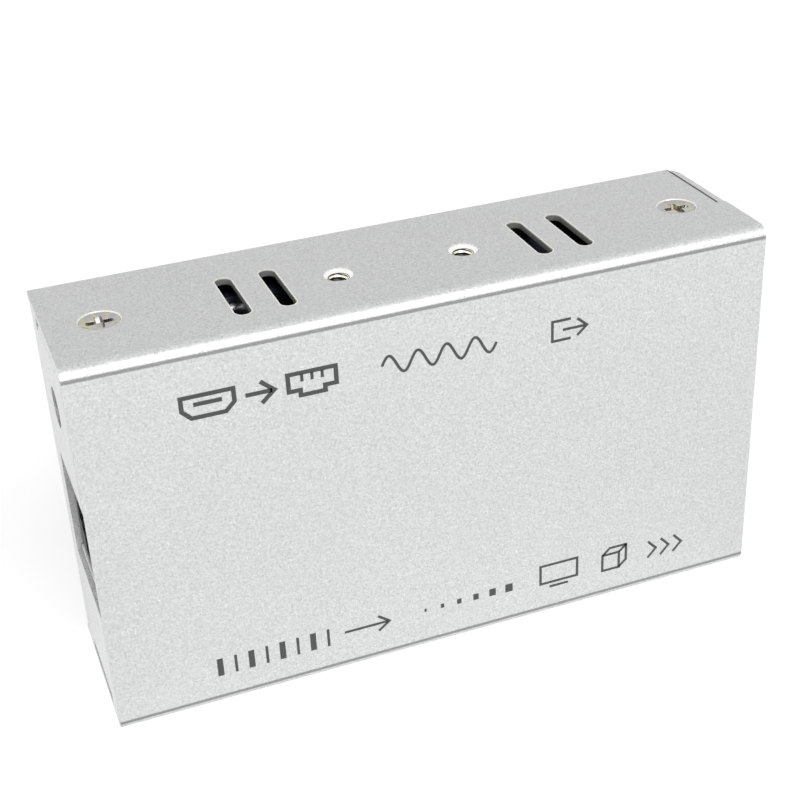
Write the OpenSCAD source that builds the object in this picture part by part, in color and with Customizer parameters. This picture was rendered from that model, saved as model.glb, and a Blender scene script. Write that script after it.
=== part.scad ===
// Signal extender, sender unit. A case folded from two pieces of sheet metal holds one circuit
// board, with a power socket and a network socket at its left end and a video socket at its right.
// Lengths are in millimetres and angles in degrees. The case stands on a long narrow side, its
// front panel faces -Y, and the origin is the middle of the face that it stands on.

/* [Case] */
// Length of the case
case_length = 100; // [92:1:150]
// Room between the network socket's roof and the front panel
front_room = 3.9; // [2.4:0.1:14]
// Height of the case, as it stands on a long narrow side
case_height = 57.5; // [55:0.5:90]
// Thickness of the sheet metal
sheet = 1; // [0.9:0.1:1.2]
// Outer radius of the bends in the sheet metal
bend_radius = 1.8; // [1.6:0.1:2.4]
// Gap between the front panel and the front edges of the end plates
panel_gap = 0.2; // [0.1:0.05:0.4]

/* [Narrow sides] */
// Distance from a cover screw to the nearer end of the case
cover_screw_inset = 7.4; // [6.5:0.1:9]
// Distance from the front panel's face to the line of the cover screws
cover_screw_setback = 12.4; // [11.5:0.1:13]
// Distance between the middles of the two pairs of vent slots
vent_pair_span = 43.4; // [38:0.2:48]
// Distance between the two slots of a pair
vent_pitch = 6.2; // [5:0.1:7]
// Width of a vent slot
vent_width = 2.3; // [1.6:0.1:3]
// Length of a vent slot, across the narrow side
vent_length = 12.4; // [8:0.1:14]
// Distance from the front panel's face to the middle of the vent slots
vent_setback = 11.8; // [10:0.05:13]
// Distance between the two tapped holes of a narrow side
bracket_hole_span = 18.4; // [14:0.1:24]
// How far the middle of the two tapped holes lies to the left of the case's middle
bracket_hole_shift = 0.6; // [-1:0.1:1]
// Distance from the front panel's face to the tapped holes
bracket_hole_setback = 12.1; // [9:0.1:14]
// Radius of a tapped hole
bracket_hole_radius = 1.5; // [1.25:0.05:2]
// Width of the bevel round a tapped hole
bracket_hole_bevel = 0.75; // [0.2:0.05:0.8]

/* [Ends] */
// Height of the network socket's middle, as a share of the case's height
network_height_share = 0.478; // [0.45:0.001:0.5]
// Height of the power socket's axis, as a share of the case's height
power_height_share = 0.808; // [0.79:0.001:0.81]
// Radius of the power socket's hole in the left end plate
power_hole_radius = 2.85; // [2.8:0.05:3.1]
// Height of the video socket's middle, as a share of the case's height
video_height_share = 0.5; // [0.46:0.005:0.53]
// Height of the power light, as a share of the case's height
light_height_share = 0.748; // [0.72:0.001:0.76]
// Distance from the front panel's face to the front end of the right end plate's lugs
lug_setback = 11.3; // [10:0.1:16]

/* [Board] */
// Thickness of the circuit board
board_thickness = 1.6; // [1.2:0.1:2]
// Height of the standoffs that carry the board
standoff_height = 5; // [4:0.5:6]
// Gap between an end of the board and the end plate
board_end_gap = 1.3; // [1:0.1:2]
// Gap between a long edge of the board and the screw tabs
board_edge_gap = 1.2; // [0.8:0.1:1.6]

/* [Network contacts] */
// Number of contact wires
contact_count = 8; // [4:2:8]
// Distance between neighbouring contact wires
contact_pitch = 1.02; // [0.9:0.01:1.05]
// Slope of the sprung arms at rest, in degrees
arm_slope = 13; // [10:0.5:14]

/* [Hidden] */
$fn = 48;

// How far a cut runs past the solid that it cuts
overrun = 1;
// Gap round a round thing in its hole
fit_gap = 0.05;

// The room for a plug is the network socket's, and the case is as deep as what it holds
net_rise = 13.5;
board_stack = standoff_height + board_thickness;
case_depth = 2 * sheet + board_stack + net_rise + front_room;

// The case's faces
case_left = -case_length / 2;
case_right = case_length / 2;
case_front = -case_depth / 2;
case_back = case_depth / 2;
inner_height = case_height - 2 * sheet;
plate_front = case_front + sheet + panel_gap;

// The locating lugs on the right end plate, and the notches in the cover that they stand in
lug_front = case_front + lug_setback;
lug_gap = 0.3;
lug_sink = 0.15;

// The cover's back corners, its tapped holes' bevels, and the collars that they are drawn into
cover_corner = 0.4;
tap_bevel_depth = 0.5;
collar_radius = 2.25;
collar_depth = 1;

// The screw tabs that the end plates are bent into, top and bottom
tab_width = 13;
tab_margin = 3.8;
tab_relief = 0.6;
tab_reach = cover_screw_inset + tab_margin;
screw_line = case_front + cover_screw_setback;

// The countersunk cover screws
cover_head_radius = 2.8;
screw_shank_radius = 1.45;
screw_hole_radius = screw_shank_radius + fit_gap;
cover_screw_length = 5;
cover_head_sink = 0.05;
cover_cone_gap = 0.03;
cross_width = 0.62;
cross_span = 3.1;
cross_depth = 1;
cross_core = 0.75;

// Heights of the sockets' middles and of the power light
network_height = network_height_share * case_height;
power_height = power_height_share * case_height;
video_height = video_height_share * case_height;
light_height = light_height_share * case_height;

// The board, between the tabs and between the end plates
board_length = case_length - 2 * (sheet + board_end_gap);
board_bottom = 2 * sheet + board_edge_gap;
board_height = case_height - 2 * board_bottom;
board_left = case_left + sheet + board_end_gap;
board_face = case_back - sheet - board_stack;
standoff_foot = -board_stack;

// The standoffs: three in corners, and one moved inwards past the power socket
standoff_end_inset = 5.5;
standoff_edge_inset = 6.3;
standoff_inner_inset = 26.5;
standoff_places = [
    [case_left + standoff_end_inset, standoff_edge_inset],
    [case_right - standoff_end_inset, standoff_edge_inset],
    [case_right - standoff_end_inset, case_height - standoff_edge_inset],
    [case_left + standoff_inner_inset, case_height - standoff_edge_inset]
];
standoff_flats = 5;
standoff_plug_radius = 2.1;
standoff_bore_depth = 4.2;

// The pan head screws that hold the board on its standoffs
pan_radius = 2.75;
pan_edge = 1.2;
pan_crown = 0.7;
pan_crown_radius = 2.1;
board_screw_length = 5;

// The network socket, from its mouth inwards: its shield, and the room for a plug
net_recess = 0.7;
net_width = 16;
net_length = 18;
net_skin = 0.25;
net_lip = 0.8;
net_opening_gap = 0.4;
net_opening_floor_gap = 0.4;
shield_leg_width = 1.5;
shield_leg_setback = 8;
finger_width = 2.2;
finger_length = 4;
finger_slit_width = 0.3;
finger_setback = 2.5;
finger_offset = 3.6;
plug_width = 11.9;
plug_floor = 3.7;
plug_ceiling = 10.8;
plug_depth = 13.5;
latch_width = 6.4;
latch_floor = 2.5;
latch_tongue_width = 3.6;
latch_tongue_floor = 1.2;
latch_depth = 10;
latch_catch_start = 1.6;
latch_catch_end = 8;
socket_light_width = 2.7;
socket_light_rise = 1.5;
socket_light_offset = 5.95;
socket_light_base = 11.3;
socket_light_length = 6;

// The network contacts: flat wires that run back under the socket's roof and down to the board,
// and the sprung arms that hang from a curl near the mouth
wire_width = 0.35;
wire_thickness = 0.3;
wire_slot = 0.6;
curl_radius = 0.5;
curl_setback = 2.2;
curl_rise = 11.75;
arm_length = 12.2;
roof_slot_start = 1.2;
roof_slot_top = 12.65;
arm_tip_floor = 7.7;
arm_tip_end = 15;
leg_setback = 15.95;
leg_stagger = 1.15;
leg_channel = 0.65;
contact_gap = 0.1;
run_start = curl_setback + (curl_radius + wire_thickness / 2) * sin(arm_slope) + contact_gap;
run_top = curl_rise + curl_radius + wire_thickness / 2;
run_base = run_top - wire_thickness;

// The power socket, from its mouth inwards
jack_width = 9;
jack_rise = 11;
jack_length = 14.2;
jack_axis = 6.4;
jack_bore_radius = 3.15;
jack_bore_depth = 9.8;
jack_bevel = 0.4;
jack_block = 3.4;
jack_barrel_radius = 4.3;
jack_barrel_end = 12.6;
jack_gap = 0.1;
pin_radius = 1.05;
pin_setback = 1;
pin_shank_radius = 0.8;
rivet_radius = 1.4;
rivet_height = 0.35;
terminal_thickness = 0.3;
terminal_width = 3;
terminal_eye_rise = 2;
leaf_window_width = 3.8;
leaf_window_start = 4.2;
leaf_window_end = 12.6;
leaf_window_top = 4.6;
leaf_root = [5.6, 0.95];
leaf_bump = [9.3, 4.05];
leaf_tail = [11, 2.5];
leaf_flat = 1.2;
leaf_thickness = 0.3;
leaf_gap = 0.08;
leaf_curl = (leaf_thickness + terminal_thickness) / 2 + leaf_gap;
switch_setback = 11.2;
switch_width = 1.1;
switch_slot_gap = 0.15;
switch_reach = 0.9;
switch_base = leaf_tail[1] + leaf_thickness / 2 + leaf_gap;
switch_top = switch_base + terminal_thickness;

// The video socket: a shell whose lower corners slope in, an insulator with a tongue, and
// two rows of contacts in grooves of the tongue
video_half = 7.3;
video_rise = 5.2;
video_skin = 0.3;
video_length = 11.4;
video_recess = 0.3;
video_slope_rise = 2.1;
video_floor_half = 5.5;
video_lip = 0.5;
video_opening_gap = 0.3;
video_leg_width = 1.2;
video_leg_setbacks = [2.2, 8.4];
video_finger_width = 1.8;
video_finger_length = 5.2;
video_finger_slit = 0.25;
video_finger_setback = 1.6;
video_finger_offset = 3.2;
tongue_setback = 1.1;
tongue_half = 5.25;
tongue_base = 2.05;
tongue_top = 3.2;
tongue_block_start = 7;
pad_count_top = 10;
pad_count_base = 9;
pad_pitch = 1;
pad_width = 0.32;
pad_thickness = 0.14;
pad_setback = 1.5;
pad_groove_gap = 0.05;
pad_tail = 1.3;

// The power light: a round lamp with a domed end and a rim, and two bent leads
light_radius = 1.5;
light_hole_gap = 0.1;
light_rim_radius = 1.75;
light_rim_length = 1;
light_length = 5.2;
light_axis = 3.6;
lead_side = 0.5;
lead_half_pitch = 1.27;
lead_back = 2;

// Legs that go through the board: how far they stand out of its back, and the gap round them
leg_stub = 1;
leg_hole_gap = 0.12;
leg_end = -board_thickness - leg_stub;

// Places on the board's face, as shares of its length and height from its lower left corner
memory_share = [0.8, 0.16];
crystal_share = [0.6, 0.16];
regulator_shares = [[0.22, 0.16], [0.37, 0.16]];
power_row_share = 0.8;

// Packages with leads: body length, width and height, and the leads' sizes
lead_foot = 0.6;
lead_shoulder = 0.4;
lead_thickness = 0.15;
chip_standoff = 0.1;
video_chip_side = 10;
video_chip_rise = 1.4;
video_chip_leads = 16;
fine_pitch = 0.5;
fine_lead_width = 0.22;
driver_side = 7;
driver_leads = 12;
transformer_size = [7.1, 12.7, 5.8];
transformer_leads = 8;
coarse_pitch = 1.27;
coarse_lead_width = 0.4;
memory_size = [3.9, 4.9, 1.5];
memory_leads = 4;
surge_size = [1.6, 2.9, 1.1];
surge_leads = 3;
surge_pitch = 0.95;
regulator_size = [6.5, 3.5, 1.6];
regulator_tab = [3, 1.7, 0.3];
regulator_lead = [0.7, 1.7, 0.3];
regulator_pitch = 2.3;
diode_size = [4.3, 2.6, 2.1];
diode_end = 0.35;
diode_gap = 2;
crystal_length = 11.2;
crystal_width = 4.6;
crystal_brim = 0.5;
crystal_brim_rise = 0.6;
crystal_rise = 3.4;
inductor_side = 6;
inductor_flange = 0.7;
inductor_rise = 3;
inductor_post_radius = 1.3;
inductor_top_radius = 2.7;
winding_radius = 2.5;
winding_gap = 0.1;
can_radius = 3.15;
can_rise = 5.4;
can_groove = 0.25;
can_groove_height = 0.6;
can_seat = 0.5;
can_base_side = 6.6;
can_base_rise = 1;
can_base_bevel = 1.2;
ceramic_size = [0.8, 1.6, 0.8];
resistor_size = [0.8, 1.6, 0.45];
row_count = 6;
row_pitch = 2.1;

// The line parts stand in a row behind the network socket: the transformer, a row of resistors,
// the driver and a second row of resistors. Each value is a distance from the socket's mouth
line_gap = 2;
lead_reach = lead_shoulder + lead_foot;
transformer_place = net_length + line_gap + transformer_size[0] / 2 + lead_reach;
resistor_place = transformer_place + (transformer_size[0] + resistor_size[1]) / 2 + lead_reach + line_gap;
driver_place = resistor_place + (resistor_size[1] + driver_side) / 2 + line_gap + lead_reach;
resistor_end_place = driver_place + driver_place - resistor_place;

// The capacitor cans and the inductor stand in a row beside the inner standoff
can_gap = 1.8;
can_pitch = 10;
can_place = standoff_inner_inset + pan_radius + can_gap + can_base_side / 2;

// The surge arrays stand behind the video socket, and the video chip between them and the line
// parts, with a row of capacitors above it and below
surge_span = 8;
surge_gap = 3;
surge_place = video_length + pad_tail + surge_gap + surge_size[0] / 2 + lead_reach;
video_chip_place = (case_left + net_recess + resistor_end_place + case_right - surge_place) / 2;
capacitor_row_drop = video_chip_side / 2 + lead_reach + row_pitch;

// A box from one corner to the opposite one
module block(from, to) {
    translate(from) cube(to - from);
}

// A round bar along X, from one place on X to another
module bar_x(from, to, radius) {
    translate([from, 0, 0]) rotate([0, 90, 0]) cylinder(h = to - from, r = radius);
}

// A slot with round ends, along Y, with the middle of its top at the origin
module slot_y(width, length, height) {
    straight = length - width;
    translate([-width / 2, -straight / 2, -height]) cube([width, straight, height]);
    for (side = [-1, 1])
        translate([0, side * straight / 2, -height]) cylinder(h = height, r = width / 2);
}

// A flat strip seen from its edge, bent at each of its points in the XZ plane, with round ends
module strip(points, thickness, width) {
    rotate([90, 0, 0]) linear_extrude(width, center = true) {
        for (i = [1 : len(points) - 1]) {
            run = points[i] - points[i - 1];
            translate(points[i - 1]) rotate(atan2(run[1], run[0]))
                translate([0, -thickness / 2]) square([norm(run), thickness]);
        }
        for (point = points) translate(point) circle(r = thickness / 2);
    }
}

// The half of a bent strip's curl that lies on one side of its middle, with its axis along Y
module half_curl(radius, thickness, width) {
    intersection() {
        rotate([90, 0, 0]) difference() {
            cylinder(h = width, r = radius + thickness / 2, center = true);
            cylinder(h = width + 2 * overrun, r = radius - thickness / 2, center = true);
        }
        block(
            [-radius - thickness - overrun, -width, -radius - thickness - overrun],
            [0, width, radius + thickness + overrun]
        );
    }
}

// A U-shaped slit that frees a finger from a skin whose outer face is Z = 0
module finger_slit(length, width, slit, skin) {
    difference() {
        block([0, -width / 2 - slit, -skin - fit_gap], [length, width / 2 + slit, overrun]);
        block([slit, -width / 2, -skin - overrun], [length + overrun, width / 2, 2 * overrun]);
    }
}

// The outline of a bent sheet: a rectangle from Y = 0, whose two far corners are rounded
module bent_outline(width, depth, radius) {
    translate([-width / 2, 0]) square([width, depth - radius]);
    translate([-width / 2 + radius, 0]) square([width - 2 * radius, depth]);
    for (side = [-1, 1])
        translate([side * (width / 2 - radius), depth - radius]) circle(r = radius);
}

// A sheet bent twice into a channel, open towards -Y, with its bends along Z
module channel(width, depth, length) {
    difference() {
        linear_extrude(length) bent_outline(width, depth, bend_radius);
        translate([0, -overrun, -overrun]) linear_extrude(length + 2 * overrun)
            bent_outline(width - 2 * sheet, depth - sheet + overrun, bend_radius - sheet);
    }
}

// Children are laid along the case: their Y points from the back to the front and their Z along X
module along_case() {
    translate([case_left, case_back, case_height / 2]) rotate([180, -90, 0]) children();
}

// Children and their mirror image at the other end of the case
module both_ends() {
    children();
    mirror([1, 0, 0]) children();
}

// Children and their mirror image across their own XZ plane
module both_flanks() {
    children();
    mirror([0, 1, 0]) children();
}

// Children are made on both narrow sides, with the sheet's outer face at Z = 0 and +Z outwards
module at_narrow_sides() {
    translate([0, 0, case_height]) children();
    mirror([0, 0, 1]) children();
}

// Children are made at each cover screw, with the sheet's outer face at Z = 0 and +Z outwards
module at_cover_screws() {
    at_narrow_sides() both_ends() translate([case_left + cover_screw_inset, screw_line, 0]) children();
}

// Children are made on the board's face: X along the case, Y up and Z out of the board
module on_board(place) {
    translate([place[0], board_face, place[1]]) rotate([90, 0, 0]) children();
}

// The place on the board that a pair of shares gives
function board_place(share) = [
    board_left + share[0] * board_length,
    board_bottom + share[1] * board_height
];

// Children are made in a socket's own frame: X from its mouth inwards, Y up and Z out of the board
module at_network_socket() {
    on_board([case_left + net_recess, network_height]) children();
}

module at_power_socket() {
    on_board([case_left + sheet + jack_gap, power_height]) children();
}

module at_video_socket() {
    on_board([case_right - video_recess, video_height]) mirror([1, 0, 0]) children();
}

module at_power_light() {
    on_board([case_right, light_height]) mirror([1, 0, 0]) children();
}

// Children are made at a place in the row of capacitor cans and inductor
module at_power_row(i) {
    on_board([case_left + can_place + i * can_pitch, board_bottom + power_row_share * board_height])
        children();
}

// Children are made at each standoff
module at_standoffs() {
    for (place = standoff_places) on_board(place) children();
}

// The seat that a cover screw's cone and shank take out of the two sheets
module screw_seat() {
    mouth = cover_head_radius + cover_head_sink + cover_cone_gap + overrun;
    cone = mouth - screw_hole_radius;
    translate([0, 0, overrun - cone]) cylinder(h = cone, r1 = screw_hole_radius, r2 = mouth);
    translate([0, 0, -cover_screw_length - overrun])
        cylinder(h = cover_screw_length + overrun, r = screw_hole_radius);
}

// A cross recess, cut down from Z = 0
module cross_recess() {
    for (turn = [0, 90])
        rotate([0, 0, turn]) translate([-cross_span / 2, -cross_width / 2, -cross_depth])
            cube([cross_span, cross_width, cross_depth + overrun]);
    translate([0, 0, -cross_depth - cross_core])
        cylinder(h = cross_core, r1 = 0, r2 = cross_core);
}

// Children are made at each tapped hole, with the sheet's outer face at Z = 0 and +Z outwards
module at_bracket_holes() {
    at_narrow_sides()
        for (side = [-1, 1])
            translate([
                side * bracket_hole_span / 2 - bracket_hole_shift,
                case_front + bracket_hole_setback,
                0
            ])
                children();
}

// A tapped hole through the sheet and its collar, with a bevelled mouth
module bracket_hole() {
    depth = sheet + collar_depth + overrun;
    grow = 1 + overrun / tap_bevel_depth;
    translate([0, 0, -depth]) cylinder(h = depth + overrun, r = bracket_hole_radius);
    translate([0, 0, -tap_bevel_depth])
        cylinder(
            h = tap_bevel_depth * grow,
            r1 = bracket_hole_radius,
            r2 = bracket_hole_radius + bracket_hole_bevel * grow
        );
}

// The vent slots of one narrow side
module vents() {
    for (pair = [-1, 1])
        for (one = [-1, 1])
            translate([(pair * vent_pair_span + one * vent_pitch) / 2, case_front + vent_setback, overrun])
                slot_y(vent_width, vent_length, sheet + 2 * overrun);
}

// Front panel and both narrow sides, bent from one sheet
module cover() {
    color("silver") difference() {
        union() {
            intersection() {
                along_case() channel(case_height, case_depth, case_length);
                translate([0, case_front, 0]) linear_extrude(case_height)
                    bent_outline(case_length, case_depth, cover_corner);
            }
            at_bracket_holes() translate([0, 0, -sheet - collar_depth])
                cylinder(h = collar_depth + sheet / 2, r = collar_radius);
        }
        at_cover_screws() screw_seat();
        at_narrow_sides() vents();
        at_bracket_holes() bracket_hole();
        block(
            [case_right - sheet - lug_gap, lug_front - lug_gap, -overrun],
            [case_right + overrun, case_back + overrun, case_height + overrun]
        );
    }
}

// Back panel and both end plates, as one channel that fits inside the cover
module end_and_back_plates() {
    intersection() {
        translate([0, plate_front, sheet]) channel(case_length, case_back - plate_front, inner_height);
        along_case() linear_extrude(case_length)
            bent_outline(inner_height, case_back - plate_front, bend_radius - sheet);
    }
}

// What is cut away from an end plate at its tabs, a relief wider than each tab
module tab_reliefs() {
    both_ends()
        for (bottom = [sheet - overrun, case_height - sheet - bend_radius])
            block(
                [case_left - overrun, screw_line - tab_width / 2 - tab_relief, bottom],
                [
                    case_left + sheet + overrun,
                    screw_line + tab_width / 2 + tab_relief,
                    bottom + bend_radius + overrun
                ]
            );
}

// The screw tabs, bent out of each end plate's top and bottom
module screw_tabs() {
    both_ends()
        translate([case_left + tab_reach, screw_line + tab_width / 2, case_height / 2])
            rotate([90, -90, 0]) channel(inner_height, tab_reach, tab_width);
}

// The right end plate's lugs, which stand in the cover's notches
module lugs() {
    intersection() {
        translate([0, case_front, lug_sink]) linear_extrude(case_height - 2 * lug_sink)
            bent_outline(case_length, case_depth, bend_radius);
        block(
            [case_right - sheet, lug_front, 0],
            [case_right + overrun, case_back + overrun, case_height]
        );
    }
}

// The notch that the network socket shows through, open towards the front panel
module network_opening() {
    half = net_width / 2 + net_opening_gap;
    block(
        [case_left - overrun, plate_front - overrun, network_height - half],
        [case_left + sheet + overrun, board_face + net_opening_floor_gap, network_height + half]
    );
}

// Back panel, end plates, screw tabs and lugs, bent from one sheet
module base() {
    color("gainsboro") difference() {
        union() {
            difference() {
                end_and_back_plates();
                tab_reliefs();
            }
            screw_tabs();
            lugs();
        }
        at_cover_screws() screw_seat();
        network_opening();
        at_power_socket() translate([0, 0, jack_axis])
            bar_x(-sheet - jack_gap - overrun, overrun, power_hole_radius);
        at_video_socket() translate([-video_recess - overrun, 0, 0])
            video_prism(-video_lip - video_opening_gap, sheet + 2 * overrun);
        at_power_light() translate([0, 0, light_axis])
            bar_x(-overrun, sheet + overrun, light_radius + light_hole_gap);
        at_standoffs() translate([0, 0, standoff_foot - sheet - overrun])
            cylinder(h = sheet + 2 * overrun, r = standoff_plug_radius + fit_gap);
    }
}

// Four countersunk screws with a cross recess
module cover_screws() {
    cone = cover_head_radius - screw_shank_radius;
    color("lightgray") at_cover_screws() difference() {
        union() {
            translate([0, 0, -cover_head_sink - cone])
                cylinder(h = cone, r1 = screw_shank_radius, r2 = cover_head_radius);
            translate([0, 0, -cover_screw_length])
                cylinder(h = cover_screw_length - cone, r = screw_shank_radius);
        }
        translate([0, 0, -cover_head_sink]) cross_recess();
    }
}

// Four six-sided standoffs, each with a round plug clinched into the back panel
module standoffs() {
    color("lightgray") at_standoffs() difference() {
        union() {
            translate([0, 0, standoff_foot])
                cylinder(h = standoff_height, r = standoff_flats / 2 / cos(30), $fn = 6);
            translate([0, 0, standoff_foot - sheet])
                cylinder(h = sheet + standoff_height / 2, r = standoff_plug_radius);
        }
        translate([0, 0, -board_thickness - standoff_bore_depth])
            cylinder(h = standoff_bore_depth + overrun, r = screw_hole_radius);
    }
}

// The board, with holes for the screws and for every leg that goes through it
module circuit_board() {
    color("darkgreen") difference() {
        on_board([board_left, board_bottom])
            block([0, 0, -board_thickness], [board_length, board_height, 0]);
        at_standoffs() translate([0, 0, -board_thickness - overrun])
            cylinder(h = board_thickness + 2 * overrun, r = screw_shank_radius + leg_hole_gap);
        at_network_socket() {
            for (i = [0 : contact_count - 1])
                translate([leg_at(i), wire_at(i), -board_thickness - overrun])
                    cylinder(h = board_thickness + 2 * overrun, r = wire_width / 2 + leg_hole_gap);
            shield_legs(leg_hole_gap);
        }
        at_power_socket() {
            pin_terminal_plate(leg_hole_gap);
            leaf_terminal_plate(leg_hole_gap);
            switch_plate(leg_hole_gap);
        }
        at_video_socket() video_legs(leg_hole_gap);
        at_power_light() light_legs(leg_hole_gap);
    }
}

// Four pan head screws with a cross recess
module board_screws() {
    color("lightgray") at_standoffs() difference() {
        union() {
            cylinder(h = pan_edge, r = pan_radius);
            translate([0, 0, pan_edge])
                cylinder(h = pan_crown, r1 = pan_radius, r2 = pan_crown_radius);
            translate([0, 0, -board_screw_length])
                cylinder(h = board_screw_length + pan_edge, r = screw_shank_radius);
        }
        translate([0, 0, pan_edge + pan_crown]) cross_recess();
    }
}

// The legs of the network socket's shield, grown by a gap for the holes that they go through
module shield_legs(grow = 0) {
    both_flanks()
        block(
            [shield_leg_setback - grow, net_width / 2 - net_skin - grow, leg_end],
            [shield_leg_setback + shield_leg_width + grow, net_width / 2 + grow, net_skin]
        );
}

// The shield: a folded skin over the network socket, open at the mouth and towards the board
module network_shield() {
    half = net_width / 2;
    color("lightgray") at_network_socket() {
        difference() {
            block([0, -half, 0], [net_length, half, net_rise]);
            block(
                [net_skin, net_skin - half, -overrun],
                [net_length - net_skin, half - net_skin, net_rise - net_skin]
            );
            block(
                [-overrun, net_lip - half, -overrun],
                [net_skin + overrun, half - net_lip, net_rise - net_lip]
            );
            both_flanks() translate([finger_setback, finger_offset, net_rise])
                finger_slit(finger_length, finger_width, finger_slit_width, net_skin);
        }
        shield_legs();
    }
}

// Places of the contact wires: across the socket, and of their legs from the mouth inwards
function wire_at(i) = (i - (contact_count - 1) / 2) * contact_pitch;
function leg_at(i) = leg_setback + (i % 2) * leg_stagger;

// The room for one contact wire: the roof slot, the slot for the arm's tip, and the leg's groove
module wire_room(i) {
    half = wire_slot / 2;
    block([roof_slot_start, -half, plug_ceiling - overrun], [plug_depth, half, roof_slot_top]);
    block([plug_depth - overrun, -half, run_base - contact_gap], [leg_at(i), half, roof_slot_top]);
    block([plug_depth - overrun, -half, arm_tip_floor], [arm_tip_end, half, plug_ceiling]);
    block([leg_at(i) - leg_channel / 2, -half, -overrun], [net_length, half, roof_slot_top]);
}

// The network socket's moulding: the stepped room for a plug, and a comb that keeps the wires apart
module network_housing() {
    half = net_width / 2 - net_skin;
    color("dimgray") at_network_socket() difference() {
        block([net_skin, -half, 0], [net_length - net_skin, half, net_rise - net_skin]);
        block([-overrun, -plug_width / 2, plug_floor], [plug_depth, plug_width / 2, plug_ceiling]);
        block([-overrun, -latch_width / 2, latch_floor], [plug_depth, latch_width / 2, plug_floor + overrun]);
        block(
            [-overrun, -latch_tongue_width / 2, latch_tongue_floor],
            [latch_depth, latch_tongue_width / 2, plug_floor]
        );
        block(
            [latch_catch_start, -latch_width / 2, latch_tongue_floor],
            [latch_catch_end, latch_width / 2, plug_floor]
        );
        for (i = [0 : contact_count - 1]) translate([0, wire_at(i), 0]) wire_room(i);
        both_flanks() socket_light(fit_gap);
    }
}

// A light window in the network socket's face, grown by a gap for its pocket
module socket_light(grow = 0) {
    block(
        [
            grow > 0 ? 0 : net_skin,
            socket_light_offset - socket_light_width / 2 - grow,
            socket_light_base - grow
        ],
        [
            net_skin + socket_light_length + grow,
            socket_light_offset + socket_light_width / 2 + grow,
            socket_light_base + socket_light_rise + grow
        ]
    );
}

module network_link_light() {
    color("limegreen") at_network_socket() mirror([0, 1, 0]) socket_light();
}

module network_data_light() {
    color("gold") at_network_socket() socket_light();
}

// The fixed part of each contact wire: its run under the roof and its leg through the board
module network_contact_legs() {
    half = wire_width / 2;
    color("goldenrod") at_network_socket()
        for (i = [0 : contact_count - 1]) translate([0, wire_at(i), 0]) {
            block([run_start, -half, run_base], [leg_at(i) + wire_thickness / 2, half, run_top]);
            block(
                [leg_at(i) - wire_thickness / 2, -half, leg_end],
                [leg_at(i) + wire_thickness / 2, half, run_top]
            );
        }
}

// The sprung part of each contact wire: its curl near the mouth and the arm that a plug lifts
module network_contact_arms() {
    color("gold") at_network_socket()
        for (i = [0 : contact_count - 1])
            translate([curl_setback, wire_at(i), curl_rise]) rotate([0, arm_slope, 0]) {
                half_curl(curl_radius, wire_thickness, wire_width);
                strip([[0, -curl_radius], [arm_length, -curl_radius]], wire_thickness, wire_width);
            }
}

// The power socket's moulding: a block at its mouth and a barrel behind, over a slot for the leaf
module power_socket_body() {
    half = jack_width / 2;
    color("dimgray") at_power_socket() difference() {
        union() {
            block([0, -half, 0], [jack_block, half, jack_rise]);
            block([0, -half, 0], [jack_length, half, jack_axis]);
            translate([0, 0, jack_axis]) bar_x(0, jack_barrel_end, jack_barrel_radius);
        }
        translate([0, 0, jack_axis]) {
            bar_x(-overrun, jack_bore_depth, jack_bore_radius);
            translate([-overrun, 0, 0]) rotate([0, 90, 0])
                cylinder(
                    h = overrun + jack_bevel,
                    r1 = jack_bore_radius + jack_bevel + overrun,
                    r2 = jack_bore_radius
                );
            bar_x(0, jack_length + overrun, pin_shank_radius + fit_gap);
        }
        block(
            [leaf_window_start, -leaf_window_width / 2, -overrun],
            [leaf_window_end, leaf_window_width / 2, leaf_window_top]
        );
        block(
            [switch_setback - switch_slot_gap, -half - overrun, switch_base - switch_slot_gap],
            [switch_setback + switch_width + switch_slot_gap, 0, switch_top + switch_slot_gap]
        );
    }
}

// The centre pin: a round-nosed pin, its shank through the rear wall, and its riveted end
module power_centre_pin() {
    rivet_start = jack_length + terminal_thickness;
    color("silver") at_power_socket() translate([0, 0, jack_axis]) {
        translate([pin_setback + pin_radius, 0, 0]) sphere(r = pin_radius);
        bar_x(pin_setback + pin_radius, jack_bore_depth, pin_radius);
        bar_x(jack_bore_depth - pin_radius, rivet_start + rivet_height, pin_shank_radius);
        bar_x(rivet_start, rivet_start + rivet_height, rivet_radius);
    }
}

// The plate behind the power socket that takes the pin's current to the board
module pin_terminal_plate(grow = 0) {
    block(
        [jack_length - grow, -terminal_width / 2 - grow, leg_end],
        [jack_length + terminal_thickness + grow, terminal_width / 2 + grow, jack_axis + terminal_eye_rise]
    );
}

module power_pin_terminal() {
    color("silver") at_power_socket() difference() {
        pin_terminal_plate();
        translate([0, 0, jack_axis]) bar_x(0, jack_length + overrun, pin_shank_radius + fit_gap);
    }
}

// The leaf that presses on a plug's sleeve: up from its root to a bump, and down to its tail
module power_leaf_spring() {
    color("gold") at_power_socket()
        strip(
            [leaf_root, leaf_bump, leaf_tail, leaf_tail + [leaf_flat, 0]],
            leaf_thickness, terminal_width
        );
}

// The plate that carries the leaf's root in a curl
module leaf_terminal_plate(grow = 0) {
    block(
        [leaf_root[0] - leaf_curl - terminal_thickness / 2 - grow, -terminal_width / 2 - grow, leg_end],
        [leaf_root[0] - leaf_curl + terminal_thickness / 2 + grow, terminal_width / 2 + grow, leaf_root[1]]
    );
}

module power_leaf_terminal() {
    color("silver") at_power_socket() {
        leaf_terminal_plate();
        translate([leaf_root[0], 0, leaf_root[1]]) half_curl(leaf_curl, terminal_thickness, terminal_width);
    }
}

// The contact that the leaf's tail leaves when a plug goes in: a side plate and a finger over the tail
module switch_plate(grow = 0) {
    side = -jack_width / 2;
    block(
        [switch_setback - grow, side - terminal_thickness - grow, leg_end],
        [switch_setback + switch_width + grow, side + grow, switch_top]
    );
}

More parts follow.
